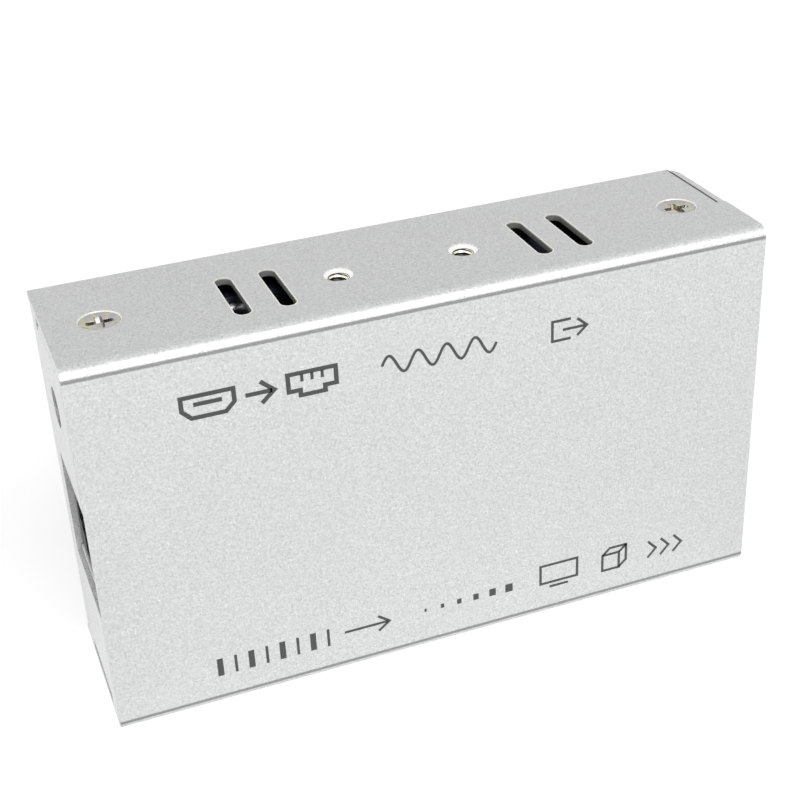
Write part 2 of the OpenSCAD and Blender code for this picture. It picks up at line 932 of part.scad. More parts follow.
module power_switch_contact() {
    color("silver") at_power_socket() {
        switch_plate();
        block(
            [switch_setback, -jack_width / 2 - terminal_thickness, switch_base],
            [switch_setback + switch_width, -switch_reach, switch_top]
        );
    }
}

// The video socket's outline, moved inwards by an inset, as a prism from its mouth inwards
function slope_shift(inset) = inset * norm([video_half - video_floor_half, video_slope_rise]);
function slope_side(inset) =
    (video_slope_rise * (video_half - inset - video_floor_half) + slope_shift(inset))
    / (video_half - video_floor_half);
function slope_floor(inset) =
    ((video_half - video_floor_half) * inset + video_slope_rise * video_floor_half - slope_shift(inset))
    / video_slope_rise;

module video_prism(inset, length) {
    side = video_half - inset;
    rotate([90, 0, 90]) linear_extrude(length) polygon([
        [-side, video_rise - inset], [-side, slope_side(inset)], [-slope_floor(inset), inset],
        [slope_floor(inset), inset], [side, slope_side(inset)], [side, video_rise - inset]
    ]);
}

// The legs of the video socket's shell, grown by a gap for the holes that they go through
module video_legs(grow = 0) {
    for (setback = video_leg_setbacks)
        both_flanks()
            block(
                [setback - grow, video_half - video_skin - grow, leg_end],
                [setback + video_leg_width + grow, video_half + grow, slope_side(0) + video_skin]
            );
}

module video_socket_shell() {
    color("lightgray") at_video_socket() difference() {
        union() {
            video_prism(0, video_length);
            video_prism(-video_lip, video_skin);
            video_legs();
        }
        translate([-overrun, 0, 0]) video_prism(video_skin, video_length + 2 * overrun);
        both_flanks() translate([video_finger_setback, video_finger_offset, video_rise])
            finger_slit(video_finger_length, video_finger_width, video_finger_slit, video_skin);
    }
}

// Places of the video contacts across the socket
function top_pad_at(i) = (i - (pad_count_top - 1) / 2) * pad_pitch;
function base_pad_at(i) = (i - (pad_count_base - 1) / 2) * pad_pitch;

// The insulator: a block that fills the shell's rear, and the tongue that a plug goes over
module video_socket_insulator() {
    half = pad_width / 2 + pad_groove_gap;
    color("dimgray") at_video_socket() difference() {
        union() {
            translate([tongue_block_start, 0, 0]) video_prism(video_skin, video_length - tongue_block_start);
            block(
                [tongue_setback, -tongue_half, tongue_base],
                [tongue_block_start + overrun, tongue_half, tongue_top]
            );
        }
        for (i = [0 : pad_count_top - 1])
            translate([pad_setback - pad_groove_gap, top_pad_at(i), 0])
                block(
                    [0, -half, tongue_top - pad_thickness],
                    [video_length, half, tongue_top + pad_groove_gap]
                );
        for (i = [0 : pad_count_base - 1])
            translate([pad_setback - pad_groove_gap, base_pad_at(i), 0])
                block(
                    [0, -half, tongue_base - pad_groove_gap],
                    [video_length, half, tongue_base + pad_thickness]
                );
    }
}

// One contact: a strip along the tongue at a height, a riser behind the insulator and a tail
module video_contact(height) {
    half = pad_width / 2;
    riser = video_length + pad_groove_gap;
    block([pad_setback, -half, height], [riser + pad_thickness, half, height + pad_thickness]);
    block([riser, -half, 0], [riser + pad_thickness, half, height + pad_thickness]);
    block([riser, -half, 0], [riser + pad_tail, half, pad_thickness]);
}

module video_socket_contacts() {
    color("gold") at_video_socket() {
        for (i = [0 : pad_count_top - 1])
            translate([0, top_pad_at(i), 0]) video_contact(tongue_top - pad_thickness);
        for (i = [0 : pad_count_base - 1])
            translate([0, base_pad_at(i), 0]) video_contact(tongue_base);
    }
}

// The power light: a lamp with a domed end in the right end plate, and a rim behind
module power_light() {
    color("tomato") at_power_light() translate([0, 0, light_axis]) {
        translate([light_radius, 0, 0]) sphere(r = light_radius);
        bar_x(light_radius, light_length, light_radius);
        bar_x(light_length - light_rim_length, light_length, light_rim_radius);
    }
}

// The upright part of the light's leads, grown by a gap for the holes that they go through
module light_legs(grow = 0) {
    both_flanks()
        block(
            [light_length + lead_back - grow, lead_half_pitch - lead_side / 2 - grow, leg_end],
            [light_length + lead_back + lead_side + grow, lead_half_pitch + lead_side / 2 + grow, light_axis]
        );
}

module power_light_leads() {
    color("lightgray") at_power_light() {
        light_legs();
        both_flanks()
            block(
                [light_length, lead_half_pitch - lead_side / 2, light_axis - lead_side],
                [light_length + lead_back + lead_side, lead_half_pitch + lead_side / 2, light_axis]
            );
    }
}

// A row of bent leads along Y, which leave a package at X = 0 and stand on the board
module lead_row(count, pitch, width, rise) {
    foot = lead_shoulder + lead_foot;
    for (i = [0 : count - 1])
        translate([0, (i - (count - 1) / 2) * pitch, 0])
            rotate([90, 0, 0]) linear_extrude(width, center = true) polygon([
                [-lead_thickness, rise], [lead_shoulder - lead_thickness, rise],
                [lead_shoulder - lead_thickness, 0], [foot, 0], [foot, lead_thickness],
                [lead_shoulder, lead_thickness], [lead_shoulder, rise + lead_thickness],
                [-lead_thickness, rise + lead_thickness]
            ]);
}

// A moulded package with a row of leads on some of its sides, at the given turns about Z
module package(size, turns, count, pitch, width) {
    translate([-size[0] / 2, -size[1] / 2, chip_standoff]) cube(size);
    for (turn = turns)
        rotate([0, 0, turn]) translate([(turn % 180 == 0 ? size[0] : size[1]) / 2, 0, 0])
            lead_row(count, pitch, width, chip_standoff + size[2] / 2);
}

module video_chip() {
    color("dimgray") on_board([video_chip_place, video_height])
        package(
            [video_chip_side, video_chip_side, video_chip_rise], [0, 90, 180, 270],
            video_chip_leads, fine_pitch, fine_lead_width
        );
}

module line_driver_chip() {
    color("dimgray") at_network_socket() translate([driver_place, 0, 0])
        package(
            [driver_side, driver_side, video_chip_rise], [0, 90, 180, 270],
            driver_leads, fine_pitch, fine_lead_width
        );
}

module line_transformer() {
    color("dimgray") at_network_socket() translate([transformer_place, 0, 0])
        package(transformer_size, [0, 180], transformer_leads, coarse_pitch, coarse_lead_width);
}

module memory_chip() {
    color("dimgray") on_board(board_place(memory_share))
        package(memory_size, [0, 180], memory_leads, coarse_pitch, coarse_lead_width);
}

module surge_arrays() {
    color("dimgray")
        for (side = [-1, 1])
            at_video_socket() translate([surge_place, side * surge_span / 2, 0])
            package(surge_size, [0, 180], surge_leads, surge_pitch, coarse_lead_width);
}

// Two regulators, each with a wide tab on one side and three leads on the other
module voltage_regulators() {
    reach = regulator_size[1] / 2;
    color("dimgray")
        for (share = regulator_shares) on_board(board_place(share)) {
            translate([-regulator_size[0] / 2, -reach, chip_standoff]) cube(regulator_size);
            translate([-regulator_tab[0] / 2, reach - chip_standoff, 0]) cube(regulator_tab);
            for (i = [-1 : 1])
                translate([i * regulator_pitch, chip_standoff - reach - regulator_lead[1], 0])
                    translate([-regulator_lead[0] / 2, 0, 0]) cube(regulator_lead);
        }
}

// The diode beside the power socket, with a metal end cap folded under each end
module power_diode() {
    reach = diode_size[0] / 2 + diode_end;
    color("dimgray") at_power_socket() translate([jack_length + diode_gap + reach, 0, 0]) {
        translate([-diode_size[0] / 2, -diode_size[1] / 2, chip_standoff]) cube(diode_size);
        for (side = [-1, 1])
            translate([side * (diode_size[0] + diode_end) / 2, 0, diode_size[2] / 4])
                cube([diode_end, diode_size[1] / 2, diode_size[2] / 2], center = true);
    }
}

// An oval from Z = 0 up, as long as it says along X
module oval(length, width, height) {
    rotate([0, 0, 90]) translate([0, 0, height]) slot_y(width, length, height);
}

module clock_crystal() {
    color("lightgray") on_board(board_place(crystal_share)) {
        oval(crystal_length, crystal_width, crystal_brim_rise);
        oval(crystal_length - 2 * crystal_brim, crystal_width - 2 * crystal_brim, crystal_rise);
    }
}

// The inductor: a square foot, a post and a round top, and the wire wound between them
module inductor_core() {
    color("dimgray") at_power_row(2) {
        translate([-inductor_side / 2, -inductor_side / 2, 0])
            cube([inductor_side, inductor_side, inductor_flange]);
        cylinder(h = inductor_rise, r = inductor_post_radius);
        translate([0, 0, inductor_rise - inductor_flange])
            cylinder(h = inductor_flange, r = inductor_top_radius);
    }
}

module inductor_winding() {
    color("peru") at_power_row(2) difference() {
        translate([0, 0, inductor_flange + winding_gap])
            cylinder(h = inductor_rise - 2 * (inductor_flange + winding_gap), r = winding_radius);
        cylinder(h = inductor_rise, r = inductor_post_radius + winding_gap);
    }
}

// Two electrolytic capacitors: a grooved can, in a base with two bevelled corners
module capacitor_cans() {
    color("silver")
        for (i = [0, 1]) at_power_row(i) difference() {
            translate([0, 0, can_seat]) cylinder(h = can_rise, r = can_radius);
            translate([0, 0, can_base_rise + can_groove]) difference() {
                cylinder(h = can_groove_height, r = can_radius + overrun);
                translate([0, 0, -overrun])
                    cylinder(h = can_groove_height + 2 * overrun, r = can_radius - can_groove);
            }
        }
}

module capacitor_bases() {
    half = can_base_side / 2;
    color("dimgray")
        for (i = [0, 1]) at_power_row(i) difference() {
            linear_extrude(can_base_rise) polygon([
                [-half, -half], [half - can_base_bevel, -half], [half, can_base_bevel - half],
                [half, half - can_base_bevel], [half - can_base_bevel, half], [-half, half]
            ]);
            translate([0, 0, can_seat]) cylinder(h = can_base_rise, r = can_radius + fit_gap);
        }
}

// A row of equal chips, square to the way that the row runs
module chip_row(size) {
    for (i = [0 : row_count - 1])
        translate([(i - (row_count - 1) / 2) * row_pitch - size[0] / 2, -size[1] / 2, 0]) cube(size);
}

module chip_capacitors() {
    color("tan")
        for (side = [-1, 1])
            on_board([video_chip_place, video_height + side * capacitor_row_drop]) chip_row(ceramic_size);
}

module chip_resistors() {
    color("dimgray")
        for (place = [resistor_place, resistor_end_place])
            at_network_socket() translate([place, 0, 0]) rotate([0, 0, 90]) chip_row(resistor_size);
}

cover();
base();
cover_screws();
standoffs();
circuit_board();
board_screws();
network_shield();
network_housing();
network_contact_legs();
network_contact_arms();
network_link_light();
network_data_light();
power_socket_body();
power_centre_pin();
power_pin_terminal();
power_leaf_spring();
power_leaf_terminal();
power_switch_contact();
video_socket_shell();
video_socket_insulator();
video_socket_contacts();
power_light();
power_light_leads();
video_chip();
line_driver_chip();
line_transformer();
memory_chip();
clock_crystal();
surge_arrays();
voltage_regulators();
power_diode();
inductor_core();
inductor_winding();
capacitor_cans();
capacitor_bases();
chip_capacitors();
chip_resistors();
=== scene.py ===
"""Looks for the sender unit: a silver two-piece folded case round one circuit board.

Lengths are in metres unless a comment says millimetres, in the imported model's own frame. X runs
along the case, the front panel faces -Y, and Z points up from the narrow side that it stands on.
"""
import math

import bmesh
import bpy
import numpy as np
from mathutils import Matrix, Vector


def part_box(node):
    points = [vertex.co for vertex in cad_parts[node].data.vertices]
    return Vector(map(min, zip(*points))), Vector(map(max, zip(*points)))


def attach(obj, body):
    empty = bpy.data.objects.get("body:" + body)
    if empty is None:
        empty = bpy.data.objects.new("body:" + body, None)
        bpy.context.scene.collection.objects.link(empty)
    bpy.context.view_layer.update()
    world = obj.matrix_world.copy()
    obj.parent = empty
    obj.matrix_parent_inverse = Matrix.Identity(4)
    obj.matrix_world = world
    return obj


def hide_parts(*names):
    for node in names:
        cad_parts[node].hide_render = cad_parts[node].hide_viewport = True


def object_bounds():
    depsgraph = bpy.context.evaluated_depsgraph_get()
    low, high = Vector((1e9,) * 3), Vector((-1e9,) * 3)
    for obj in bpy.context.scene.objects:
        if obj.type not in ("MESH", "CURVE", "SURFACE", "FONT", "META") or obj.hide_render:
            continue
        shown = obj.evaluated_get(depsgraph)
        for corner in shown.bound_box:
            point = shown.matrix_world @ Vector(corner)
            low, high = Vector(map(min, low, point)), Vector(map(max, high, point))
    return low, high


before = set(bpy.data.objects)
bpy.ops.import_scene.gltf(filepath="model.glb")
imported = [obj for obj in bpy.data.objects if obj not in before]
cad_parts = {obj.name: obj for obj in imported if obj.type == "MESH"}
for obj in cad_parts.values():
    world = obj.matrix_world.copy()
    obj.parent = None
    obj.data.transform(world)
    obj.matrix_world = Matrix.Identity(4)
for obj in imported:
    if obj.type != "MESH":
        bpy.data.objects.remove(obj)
cad_box = [list(corner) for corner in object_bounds()]

MM = 0.001
ROOT = "extender"
FULL_TURN = 2 * math.pi
SHARP_ANGLE = math.radians(35)

# Places on the case, as the solids have them

CASE_LEFT, CASE_FRONT = cad_box[0][:2]
CASE_TOP = cad_box[1][2]
CASE_MIDDLE_Z = 28.75 * MM
NARROW_SIDES = ((CASE_TOP, 1), (0.0, -1))  # height, and which way the side faces along Z
INNER_HALVES = (49.04 * MM, 12.04 * MM, 27.79 * MM)  # just outside the sheet's inner faces

TAP_MIDDLE_X, TAP_HALF_SPAN, TAP_Y = -0.6 * MM, 9.2 * MM, -0.9 * MM
TAP_RADIUS = 1.5 * MM
TAP_CREST_RADIUS = 1.40 * MM  # the painted highlight on the thread's ridges lies inside this
TAP_BARE_RADIUS = 2.05 * MM  # the bevel's bare metal ends here
TAP_THREAD_TOP, TAP_THREAD_BOTTOM = -0.51 * MM, -1.98 * MM  # from the outer face

SLOT_PAIR_X, SLOT_HALF_GAP, SLOT_Y = 21.7 * MM, 3.1 * MM, -1.2 * MM
SLOT_HALF_STRAIGHT, SLOT_RADIUS = 5.05 * MM, 1.15 * MM
SLOT_REACH_X, SLOT_REACH_Y = 4.9 * MM, 8.0 * MM  # a little more than a pair's half sizes

SEAT_X, SEAT_Y, SEAT_RADIUS = 42.6 * MM, -0.6 * MM, 2.8 * MM
SEAM_X, SEAM_FRONT = 48.62 * MM, -1.9 * MM
BEND_AXIS_Y, BEND_AXIS_HEIGHT = -11.2 * MM, 26.95 * MM  # height from the case's middle


# Shader expressions

class Wire:
    """A value in a node tree. Arithmetic on it adds Math nodes."""

    def __init__(self, nodes, socket):
        self.nodes = nodes
        self.socket = socket

    def maths(self, operation, *operands):
        return self.nodes.node(
            "ShaderNodeMath", {"operation": operation}, dict(enumerate(operands)))

    def __add__(self, other):
        return self.maths("ADD", self, other)

    __radd__ = __add__

    def __sub__(self, other):
        return self.maths("SUBTRACT", self, other)

    def __rsub__(self, other):
        return self.maths("SUBTRACT", other, self)

    def __mul__(self, other):
        return self.maths("MULTIPLY", self, other)

    __rmul__ = __mul__

    def __truediv__(self, other):
        return self.maths("DIVIDE", self, other)

    def __abs__(self):
        return self.maths("ABSOLUTE", self)

    def sine(self):
        return self.maths("SINE", self)

    def reach(self, other):
        """The length of a flat vector with this value and another as its parts."""
        return self.maths("SQRT", self * self + other * other)

    def larger(self, other):
        return self.maths("MAXIMUM", self, other)

    def smaller(self, other):
        return self.maths("MINIMUM", self, other)

    def above(self, limit, softness):
        """0 below the limit and 1 above it, with a smooth change as wide as the softness."""
        return self.nodes.node(
            "ShaderNodeMapRange", {"interpolation_type": "SMOOTHSTEP"},
            {"Value": self, "From Min": limit - softness / 2, "From Max": limit + softness / 2})


class Nodes:
    """A node tree that expressions add nodes to."""

    def __init__(self, tree):
        self.tree = tree

    def node(self, kind, settings, sockets, output=0):
        """A node of a type, with its settings made first and then its sockets' values or links."""
        made = self.tree.nodes.new(kind)
        for name, value in settings.items():
            setattr(made, name, value)
        self.feed(made, sockets)
        return Wire(self, made.outputs[output])

    def feed(self, made, sockets):
        """Gives a node's sockets their values or links."""
        for name, value in sockets.items():
            if isinstance(value, Wire):
                self.tree.links.new(value.socket, made.inputs[name])
            else:
                made.inputs[name].default_value = value

    def own(self, kind):
        """The node of a type that the tree was made with."""
        return next(node for node in self.tree.nodes if node.type == kind)

    def seen(self):
        """1 for the rays that show a thing: from the camera, off a gloss and through glass."""
        camera_ray, glossy_ray, glass_ray = (
            self.node("ShaderNodeLightPath", {}, {}, ray)
            for ray in ("Is Camera Ray", "Is Glossy Ray", "Is Transmission Ray"))
        return camera_ray.larger(glossy_ray).larger(glass_ray)


class Paint(Nodes):
    """One material, built from expressions on Object coordinates."""

    def __init__(self, name):
        self.material = bpy.data.materials.new(name)
        self.material.use_nodes = True
        super().__init__(self.material.node_tree)
        self.shader = self.own("BSDF_PRINCIPLED")
        self.where = self.node("ShaderNodeTexCoord", {}, {}, "Object")
        self.x, self.y, self.z = (
            self.node("ShaderNodeSeparateXYZ", {}, {"Vector": self.where}, axis) for axis in "XYZ")

    def stretched(self, x, y, z):
        """The place, with each axis multiplied."""
        return self.node(
            "ShaderNodeVectorMath", {"operation": "MULTIPLY"}, {0: self.where, 1: (x, y, z)})

    def noise(self, grain, detail=2.0, rough=0.5, at=None):
        """Soft noise from 0 to 1, whose features are about a grain wide."""
        return self.node(
            "ShaderNodeTexNoise", {},
            {"Vector": at or self.where, "Scale": 1 / grain, "Detail": detail, "Roughness": rough})

    def mix(self, share, first, second):
        """The first colour where the share is 0, and the second where it is 1.

        The Mix node takes the share in socket 0 and colours in 6 and 7, and gives one in 2.
        """
        return self.node(
            "ShaderNodeMix", {"data_type": "RGBA"}, {0: share, 6: first, 7: second}, 2)

    def bump(self, height, depth, strength):
        return self.node(
            "ShaderNodeBump", {},
            {"Height": height, "Distance": depth, "Strength": strength}, "Normal")

    def set(self, **sockets):
        """Values or links for the shader's sockets, with _ for each space in a socket's name."""
        self.feed(self.shader, {name.replace("_", " "): sockets[name] for name in sockets})
        return self.material


def grey(level, warmth=0.0):
    """A grey as a colour, a little warmer or cooler."""
    return (level * (1 + warmth), level, level * (1 - warmth), 1.0)


def colour(red, green, blue):
    return (red, green, blue, 1.0)


def dimmed(tint, share):
    """A share of a tint's light, as a colour."""
    return colour(*(part * share for part in tint))


# Masks on the case

def from_tapped_hole(paint):
    """Distance from the axis of the nearest tapped hole."""
    return (abs(paint.x - TAP_MIDDLE_X) - TAP_HALF_SPAN).reach(paint.y - TAP_Y)


def beyond_slot(paint):
    """Distance outside the nearest vent slot: a straight middle with a half circle at each end."""
    across = abs(abs(paint.x) - SLOT_PAIR_X) - SLOT_HALF_GAP
    along = (abs(paint.y - SLOT_Y) - SLOT_HALF_STRAIGHT).larger(0.0)
    return across.reach(along) - SLOT_RADIUS


def beyond_seat(paint):
    """Distance outside the nearest countersunk screw seat."""
    return (abs(paint.x) - SEAT_X).reach(paint.y - SEAT_Y) - SEAT_RADIUS


def edge_band(distance, width):
    """1 from just inside an edge to a width outside it, and 0 elsewhere."""
    beyond_edge = (distance + 0.02 * MM).above(0.0, 0.02 * MM)
    return beyond_edge * (1 - (distance - width).above(0.0, 0.08 * MM))


def slot_walls(paint, away_z):
    """1 round the vent slots where the sheet is below its outer skin: on their punched walls,
    which get painted shade.
    """
    near_pair = 1 - abs(abs(paint.x) - SLOT_PAIR_X).above(SLOT_REACH_X, 0.1 * MM)
    near_row = 1 - abs(paint.y - SLOT_Y).above(SLOT_REACH_Y, 0.2 * MM)
    below_skin = 1 - away_z.above(0.90 * MM, 0.06 * MM)
    return near_pair * below_skin * near_row


def lug_seam(paint):
    """1 on the narrow seam at the cover's right end, where the base's lug stands in its notch: a
    painted shadow.
    """
    line = 1 - abs(paint.x - SEAM_X).above(0.13 * MM, 0.05 * MM)
    return line * paint.y.above(SEAM_FRONT, 0.1 * MM)


def bend_reflection_line(paint):
    """1 on the part of the front panel's two long bends that faces just above or below the front.

    Round the bend's axis, the place's height over its depth is the slope of its normal.
    """
    depth = BEND_AXIS_Y - paint.y
    height = abs(paint.z - CASE_MIDDLE_Z) - BEND_AXIS_HEIGHT
    slope = height / depth.larger(0.1 * MM)
    band = slope.above(-0.02, 0.12) * (1 - slope.above(0.28, 0.16))
    return band * depth.above(0.6 * MM, 0.3 * MM)


# Finishes

SAND_GRAIN = 0.38 * MM
SAND_COOLNESS = -0.004
SHADE_WARMTH = 0.03
# painted dark reflection in the front panel's long bends, where they face just above or below the
# front
BEND_SHADE = grey(0.16)
# the painted highlight along the edges of the vent slots and the screw seats
RIM_HIGHLIGHT = colour(1.0, 0.99, 0.90)
CUT_METAL = colour(0.95, 0.95, 0.92)


def sand_paint(name, level, punched=False):
    """Silver paint over a fine sand-blasted sheet: a pebbled surface with small bright sparks.

    Inside the case the paint gives way to a dark painted shade. On the punched cover that painted
    shade also lies on the vent slots' walls and in the lug's seam, a painted highlight runs along
    the edges of slots and screw seats, the tapped holes' bevels are cut away to bright metal, and
    a dark painted reflection lies in a line where the front panel's long bends meet its face.
    """
    paint = Paint(name)
    grain = paint.noise(SAND_GRAIN, detail=3.0, rough=0.65)
    clouds = paint.noise(9 * MM)
    spark = paint.noise(SAND_GRAIN * 0.7, detail=0.0).above(0.71, 0.08)
    pit = 1 - paint.noise(SAND_GRAIN * 0.9, detail=1.0).above(0.32, 0.12)
    away = (abs(paint.x) - INNER_HALVES[0]).larger(abs(paint.y) - INNER_HALVES[1])
    if punched:
        away_z = abs(paint.z - CASE_MIDDLE_Z) - INNER_HALVES[2]
        away = away.larger(away_z)
    # painted shade: dark grey inside the case, and on the cover also on the slots' walls and in
    # the lug's seam
    painted_shade = 1 - away.above(0.0, 0.02 * MM)
    if punched:
        painted_shade = painted_shade.larger(slot_walls(paint, away_z) * 0.80).larger(lug_seam(paint))
    shade = (grain - 0.5) * 1.40 + (clouds - 0.5) * 0.05 + spark * 0.36 - pit * 0.40 + 0.50
    dark = grey(level * 0.72, SAND_COOLNESS)
    light = grey(min(1.0, level * 1.28), SAND_COOLNESS)
    skin = paint.mix(shade, dark, light)
    # the painted shade's own colour: a very dark grey with the sand grain in it
    shade_colour = paint.mix(grain, grey(0.075, SHADE_WARMTH), grey(0.125, SHADE_WARMTH))
    tone = paint.mix(painted_shade, skin, shade_colour)
    metallic = (spark * 0.20 + 0.42) * (1 - painted_shade)
    roughness = 0.36 - spark * 0.12 + (grain - 0.5) * 0.14 + painted_shade * 0.2
    relief = grain - pit * 0.4
    if punched:
        outer = away_z.above(0.8 * MM, 0.1 * MM)
        # painted highlight: a pale band along the edges of the vent slots and the screw seats
        slot_highlight = edge_band(beyond_slot(paint), 0.16 * MM)
        seat_highlight = edge_band(beyond_seat(paint), 0.12 * MM)
        rim = slot_highlight.larger(seat_highlight) * outer
        cut = 1 - from_tapped_hole(paint).above(TAP_BARE_RADIUS, 0.16 * MM)
        # painted reflection: a dark line on the front panel's long bends, standing in for a dark
        # room reflected there
        tone = paint.mix(bend_reflection_line(paint) * 0.78, tone, BEND_SHADE)
        tone = paint.mix(rim * 0.9, tone, RIM_HIGHLIGHT)
        tone = paint.mix(cut, tone, CUT_METAL)
        metallic = metallic.larger(cut)
        roughness = roughness - cut * 0.14 - rim * 0.08
        relief = relief * (1 - cut)
    return paint.set(
        Base_Color=tone, Metallic=metallic, Roughness=roughness,
        Normal=paint.bump(relief, 0.034 * MM, 0.8))


def screw_plating():
    """Passivated plating: a bluish bright grey with faint straw and rose stains."""
    paint = Paint("passivated_plating")
    straw = paint.noise(0.8 * MM, detail=1.0).above(0.52, 0.16)
    rose = paint.noise(0.6 * MM, detail=1.0, at=paint.stretched(1.3, 1.1, 1.0)).above(0.60, 0.12)
    wear = paint.noise(0.15 * MM, rough=0.6)
    tone = paint.mix(straw, colour(0.42, 0.42, 0.45), colour(0.52, 0.50, 0.36))
    return paint.set(
        Base_Color=paint.mix(rose * 0.6, tone, colour(0.50, 0.38, 0.38)),
        Metallic=1.0,
        Roughness=(wear - 0.5) * 0.16 + 0.20,
        Normal=paint.bump(wear, 0.006 * MM, 0.6))


def shield_plating():
    """Tin plate, dull and stained above, with a painted reflection pale towards its lower edge."""
    paint = Paint("shield_tin")
    stain = paint.noise(0.9 * MM, detail=3.0, rough=0.6)
    # painted reflection: pale, nearly white and less metallic towards the lower edge, for the
    # floor's light reflected there
    floor_reflection = 1 - paint.z.above(23.4 * MM, 2.0 * MM)
    dull = paint.mix(stain, grey(0.74, 0.02), grey(0.95, 0.03))
    return paint.set(
        Base_Color=paint.mix(floor_reflection, dull, grey(1.0, 0.01)),
        Metallic=0.70 - floor_reflection * 0.65,
        Roughness=(stain - 0.5) * 0.14 + 0.38,
        Normal=paint.bump(stain, 0.006 * MM, 0.5))


def thread_metal():
    """Cut metal in the tapped holes: painted highlight on the first ridge, painted shade in the
    grooves.
    """
    paint = Paint("cut_thread")
    ridge = 1 - from_tapped_hole(paint).above(TAP_CREST_RADIUS, 0.10 * MM)
    depth = CASE_MIDDLE_Z - abs(paint.z - CASE_MIDDLE_Z)
    # painted highlight on the first ridge near the hole's mouth, and painted shade in the grooves
    # and deeper down
    lit = ridge * (1 - depth.above(1.32 * MM, 0.20 * MM))
    oil = paint.noise(0.2 * MM)
    return paint.set(
        Base_Color=paint.mix(lit, grey(0.035), colour(0.97, 0.94, 0.78)),
        Metallic=1.0,
        Roughness=(oil - 0.5) * 0.1 + 0.24)


def plated(name, tint, roughness):
    """Plated metal with faint cloudy wear and hairline drawing marks."""
    paint = Paint(name)
    clouds = paint.noise(1.2 * MM, detail=3.0, rough=0.6)
    lines = paint.noise(0.12 * MM, detail=1.0, at=paint.stretched(0.15, 1.0, 1.0))
    return paint.set(
        Base_Color=paint.mix(clouds.above(0.45, 0.5), colour(*tint), dimmed(tint, 0.80)),
        Metallic=1.0,
        Roughness=(clouds - 0.5) * 0.16 + (lines - 0.5) * 0.12 + roughness,
        Normal=paint.bump(lines, 0.004 * MM, 0.5))


def moulded(name, tint, roughness):
    """Moulded plastic with a fine spark-eroded grain and faint flow clouds."""
    paint = Paint(name)
    pebbles = paint.noise(0.25 * MM, rough=0.6)
    clouds = paint.noise(3 * MM)
    pale = colour(*(min(1.0, part * 1.35 + 0.004) for part in tint))
    return paint.set(
        Base_Color=paint.mix(clouds, colour(*tint), pale),
        Roughness=(pebbles - 0.5) * 0.2 + roughness,
        Normal=paint.bump(pebbles, 0.012 * MM, 0.5))


def lens(name, tint):
    """Clear tinted plastic of a lamp or light guide, cloudy inside."""
    paint = Paint(name)
    clouds = paint.noise(0.8 * MM)
    return paint.set(
        Base_Color=paint.mix(clouds, dimmed(tint, 0.55), colour(*tint)),
        Roughness=(clouds - 0.5) * 0.08 + 0.16,
        Coat_Weight=0.6)


def board_paint():
    """Blue-black solder mask over copper, which shows as slightly lighter raised areas.

    Tracks run where the sine of a place is near its highest or lowest, along X or along Z by
    turns, and large areas of copper lie where a broad noise is high.
    """
    paint = Paint("solder_mask")
    track_rate = FULL_TURN / (1.1 * MM)
    across = abs((paint.z * track_rate).sine())
    along = abs((paint.x * track_rate).sine())
    turn = paint.noise(6 * MM, detail=0.0).above(0.5, 0.02)
    track = across.above(0.82, 0.15) * turn + along.above(0.82, 0.15) * (1 - turn)
    pour = paint.noise(11 * MM, detail=0.0).above(0.56, 0.02)
    copper = track.larger(pour)
    speck = paint.noise(0.2 * MM)
    return paint.set(
        Base_Color=paint.mix(copper, colour(0.045, 0.050, 0.080), colour(0.070, 0.080, 0.125)),
        Roughness=(speck - 0.5) * 0.08 + 0.32,
        Coat_Weight=0.25,
        Normal=paint.bump(copper + speck * 0.1, 0.020 * MM, 0.5))


def package_paint(name, middles, half_x, half_z):
    """Black resin inside each package's outline, and bright tin on the leads outside it."""
    paint = Paint(name)
    outside = None
    for middle_x, middle_z in middles:
        beyond = (abs(paint.x - middle_x) - half_x).larger(abs(paint.z - middle_z) - half_z)
        outside = beyond if outside is None else outside.smaller(beyond)
    lead = outside.above(0.01 * MM, 0.02 * MM)
    pebbles = paint.noise(0.12 * MM, rough=0.6)
    clouds = paint.noise(1.5 * MM)
    resin = paint.mix(clouds, grey(0.018), grey(0.034))
    return paint.set(
        Base_Color=paint.mix(lead, resin, grey(0.66)),
        Metallic=lead,
        Roughness=(pebbles - 0.5) * 0.2 + 0.55 - lead * 0.25,
        Normal=paint.bump(pebbles * (1 - lead), 0.010 * MM, 0.5))


def dark_ink():
    """Matt dark ink with a fine grain."""
    paint = Paint("dark_ink")
    grain = paint.noise(0.25 * MM, rough=0.6)
    return paint.set(
        Base_Color=paint.mix(grain, grey(0.040, -0.02), grey(0.075, -0.02)),
        Roughness=(grain - 0.5) * 0.2 + 0.55,
        Normal=paint.bump(grain, 0.010 * MM, 0.6))


# Surfaces on grids

def round_angles(steps):
    """Even angles once round."""
    return np.linspace(0, FULL_TURN, steps, endpoint=False)


def turned(radii, heights, angle):
    """Points round the Z axis: radius times cosine and sine of the angle, and the height."""
    return np.stack([radii * np.cos(angle), radii * np.sin(angle), heights], -1)


